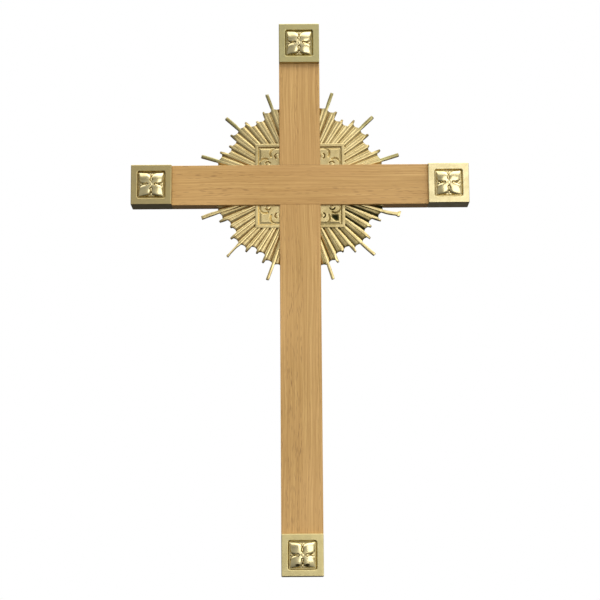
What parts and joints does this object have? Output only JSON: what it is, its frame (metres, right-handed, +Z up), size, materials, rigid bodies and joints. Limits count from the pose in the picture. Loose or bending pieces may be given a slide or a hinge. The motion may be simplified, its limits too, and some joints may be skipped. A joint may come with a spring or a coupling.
{
  "type": "wall-hung altar cross",
  "caption": "Wall-hung oak altar cross with square brass end caps, cast rosettes set in them, and a cast brass sunburst with a square ornamental panel round the crossing.",
  "frame": {"origin": "on the back face, in the middle of the crossing, where the cross lies against the wall", "axes": "+Z up along the upright, +X to the right as seen from the front, the front faces -Y and +Y points into the wall"},
  "size_m": [0.368, 0.027, 0.604],
  "materials": {
    "oak": "satin lacquer",
    "cap_brass": "satin, lacquered",
    "cast_brass": "cast, polished",
    "nail_steel": "bright drawn",
    "screw_brass": "turned",
    "zinc_steel": "zinc plated"
  },
  "bodies": {
    "root": {"upright": "oak", "crossbar": "oak", "cap_top": "cap_brass", "cap_right": "cap_brass", "cap_bottom": "cap_brass", "cap_left": "cap_brass", "rosette_top": "cast_brass", "rosette_right": "cast_brass", "rosette_bottom": "cast_brass", "rosette_left": "cast_brass", "sunburst_upper_right": "cast_brass", "sunburst_upper_left": "cast_brass", "sunburst_lower_left": "cast_brass", "sunburst_lower_right": "cast_brass", "rosette_nails": "nail_steel", "sunburst_pins": "nail_steel", "cap_screws": "screw_brass", "lap_screws": "screw_brass", "hanger_plate": "zinc_steel", "hanger_screws": "zinc_steel"}
  },
  "joints": []
}
